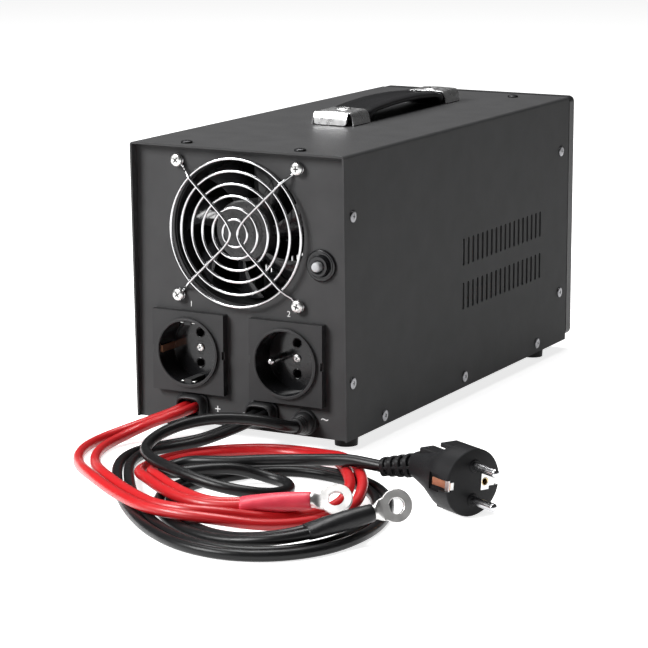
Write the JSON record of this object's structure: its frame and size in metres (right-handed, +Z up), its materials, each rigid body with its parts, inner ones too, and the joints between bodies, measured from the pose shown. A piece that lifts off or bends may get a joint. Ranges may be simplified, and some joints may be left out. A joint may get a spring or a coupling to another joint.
{
  "type": "power inverter",
  "caption": "Battery-to-mains power inverter in a black steel case, with a fan, two outlets, a strap handle, twin battery cables with ring lugs and a mains lead.",
  "frame": {"origin": "on the floor under the middle of the case with its fittings, leads left out", "axes": "+Z up, +Y from the socket panel towards the display panel, +X to the right when facing the socket panel"},
  "size_m": [0.2876, 0.5623, 0.1913],
  "materials": {
    "case_steel": "fine-textured near-black powder coat",
    "case_plastic": "black moulded plastic",
    "fan_plastic": "glossy black moulded plastic",
    "grey_plastic": "light grey moulded plastic",
    "red_plastic": "red moulded plastic",
    "socket_plastic": "satin black moulded plastic",
    "gland_plastic": "black nylon",
    "rubber": "black rubber",
    "zinc_steel": "zinc-plated steel",
    "dark_screw": "dark nickel plating",
    "chrome": "bright plating",
    "copper": "copper alloy strip",
    "brass": "turned brass",
    "tinned": "tinned copper",
    "smoked_window": "smoked acrylic",
    "copper_coil": "enamelled copper winding",
    "board_green": "green solder mask",
    "aluminium": "plain extruded aluminium",
    "capacitor_sleeve": "printed plastic sleeve",
    "red_pvc": "glossy red PVC",
    "black_pvc": "glossy black PVC",
    "plug_rubber": "moulded black PVC"
  },
  "bodies": {
    "chassis": {"base_tray": "case_steel", "board_standoffs": "brass", "breaker_body": "case_plastic", "breaker_collar": "case_plastic", "cable_negative_a": "black_pvc", "cable_negative_b": "black_pvc", "cable_positive_a": "red_pvc", "cable_positive_b": "red_pvc", "capacitors": "capacitor_sleeve", "control_board": "board_green", "display_module": "grey_plastic", "display_window": "smoked_window", "fan_frame": "case_plastic", "fan_guard": "chrome", "fan_nuts": "zinc_steel", "fan_screws": "chrome", "fan_shaft": "zinc_steel", "foot_screws": "zinc_steel", "front_bezel": "case_plastic", "front_panel": "case_steel", "gland_negative": "gland_plastic", "gland_positive": "gland_plastic", "handle_cap_front": "chrome", "handle_cap_rear": "chrome", "handle_screws": "chrome", "heatsinks": "aluminium", "inner_leads": "black_pvc", "lug_negative": "tinned", "lug_positive": "tinned", "mains_cord": "black_pvc", "mains_strain_relief": "gland_plastic", "mosfets": "case_plastic", "plug_body": "plug_rubber", "plug_earth_clips": "zinc_steel", "plug_pins": "chrome", "power_board": "board_green", "rear_panel": "case_steel", "relays": "grey_plastic", "rubber_feet": "rubber", "side_screws": "dark_screw", "sleeve_negative": "black_pvc", "sleeve_positive": "red_pvc", "socket_left_contacts": "copper", "socket_left_face": "socket_plastic", "socket_left_screw": "zinc_steel", "socket_right_contacts": "chrome", "socket_right_face": "socket_plastic", "socket_right_screw": "zinc_steel", "switch_frame": "case_plastic", "top_cover": "case_steel", "top_screws": "dark_screw", "transformer_clamp": "zinc_steel", "transformer_core": "copper_coil", "transformer_leads": "red_pvc", "transformer_pads": "rubber"},
    "fan": {"fan_rotor": "fan_plastic"},
    "reset_button": {"breaker_button": "grey_plastic"},
    "power_rocker": {"switch_rocker": "red_plastic"},
    "handle_strap": {"handle_grip": "case_plastic"}
  },
  "joints": [
    {"name": "fan_spin", "type": "hinge", "parent": "chassis", "child": "fan", "pos_m": [-0.0011, -0.1505, 0.1285], "axis": [0, 1, 0], "continuous": true},
    {"name": "button_reset", "type": "slide", "parent": "chassis", "child": "reset_button", "axis": [0, -1, 0], "range_m": [0, 0.004]},
    {"name": "rocker_tilt", "type": "hinge", "parent": "chassis", "child": "power_rocker", "pos_m": [0.035, 0.1694, 0.045], "axis": [1, 0, 0], "range_deg": [0, 20]},
    {"name": "strap_lift", "type": "slide", "parent": "chassis", "child": "handle_strap", "axis": [0, 0, 1], "range_m": [0, 0.002]}
  ]
}
